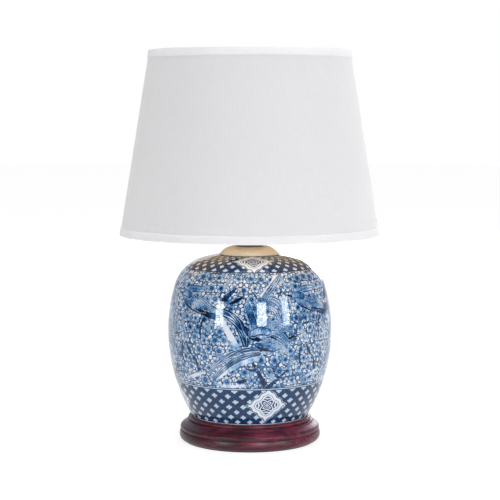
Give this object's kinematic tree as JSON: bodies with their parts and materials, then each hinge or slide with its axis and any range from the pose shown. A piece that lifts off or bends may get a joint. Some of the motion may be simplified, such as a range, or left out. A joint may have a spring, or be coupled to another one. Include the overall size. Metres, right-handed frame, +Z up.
{
  "type": "table lamp",
  "caption": "Ginger jar table lamp: blue and white porcelain jar on a turned dark wood base, with a tapered linen drum shade on a wire fitter and a push-bar lampholder.",
  "frame": {"origin": "centre of the lamp's footprint, on the table, on the axis of the jar", "axes": "+Z up the lamp's axis, +Y to the back where the cord leaves the base, front along -Y, +X to the right seen from the front"},
  "size_m": [0.301, 0.301, 0.4522],
  "materials": {
    "felt": "pressed wool felt",
    "mahogany": "dark red stained and lacquered hardwood",
    "black_plastic": "moulded black thermoset, satin",
    "zinc_steel": "zinc plated",
    "cork": "cork sheet",
    "porcelain": "white body with cobalt blue underglaze painting, clear gloss glaze",
    "fibreboard": "turned fibreboard",
    "cream_metal": "spun steel, cream enamel, satin gloss",
    "nylon": "natural nylon",
    "white_ceramic": "unglazed steatite",
    "brass": "pressed brass",
    "white_wire": "white powder coated steel",
    "shade_lining": "warm white laminated lining",
    "linen": "off-white linen weave",
    "bulb_metal": "nickel plated",
    "black_glass": "black vitrified insulator",
    "white_plastic": "moulded white plastic",
    "opal_globe": "opal diffuser",
    "white_board": "white solder mask"
  },
  "bodies": {
    "stand": {"felt_pad": "felt", "wood_base": "mahogany", "cord_bushing": "black_plastic", "base_washer": "zinc_steel", "base_nut": "zinc_steel", "threaded_rod": "zinc_steel", "jar_seat_ring": "cork", "jar": "porcelain", "jar_plug": "fibreboard", "vase_cap": "cream_metal", "holder_cap": "black_plastic", "holder_grub_screw": "nylon", "holder_body": "black_plastic", "holder_core": "white_ceramic", "screw_shell": "brass", "centre_contact": "brass", "terminal_screws": "brass"},
    "switch_bar": {"switch_bar": "black_plastic"},
    "shade_ring": {"shade_ring": "black_plastic"},
    "shade": {"spider_hub": "white_wire", "spider_arm_1": "white_wire", "spider_arm_2": "white_wire", "spider_arm_3": "white_wire", "bottom_ring": "white_wire", "top_ring": "white_wire", "shade_liner": "shade_lining", "shade_linen": "linen", "bottom_hem": "linen", "top_hem": "linen", "shade_seam": "linen"},
    "bulb": {"bulb_contact": "bulb_metal", "bulb_insulator": "black_glass", "bulb_cap": "bulb_metal", "bulb_housing": "white_plastic", "bulb_globe": "opal_globe", "bulb_board": "white_board"}
  },
  "joints": [
    {"name": "switch_push", "type": "slide", "parent": "stand", "child": "switch_bar", "axis": [1, 0, 0], "range_m": [0, 0.005]},
    {"name": "shade_ring_turn", "type": "hinge", "parent": "stand", "child": "shade_ring", "pos_m": [0, 0, 0.2697], "axis": [0, 0, 1], "range_deg": [0, 1080]},
    {"name": "shade_swivel", "type": "hinge", "parent": "stand", "child": "shade", "pos_m": [0, 0, 0.2647], "axis": [0, 0, 1], "continuous": true},
    {"name": "bulb_lift", "type": "slide", "parent": "stand", "child": "bulb", "axis": [0, 0, 1], "range_m": [0, 0.22]}
  ]
}
